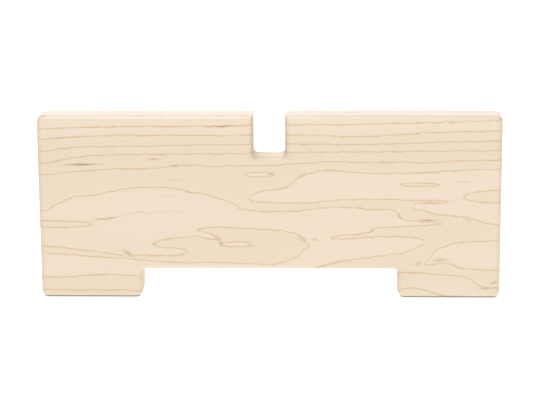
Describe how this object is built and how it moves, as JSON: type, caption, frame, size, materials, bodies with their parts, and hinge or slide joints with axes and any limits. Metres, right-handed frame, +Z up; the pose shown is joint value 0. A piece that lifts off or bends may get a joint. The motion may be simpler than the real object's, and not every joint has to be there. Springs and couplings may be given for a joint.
{
  "type": "notched board",
  "caption": "Solid maple board that stands on a foot at each end, with rounded-over edges and a slot in its top edge that takes a crossing board of the same thickness.",
  "frame": {"origin": "on the surface that the two feet stand on, midway along the board and midway through its thickness", "axes": "+X along the board, +Y through its thickness from the front face to the back face, +Z up from the feet to the slotted top edge"},
  "size_m": [0.286, 0.019, 0.116],
  "materials": {
    "maple": "satin"
  },
  "bodies": {
    "root": {"notched_board": "maple"}
  },
  "joints": []
}
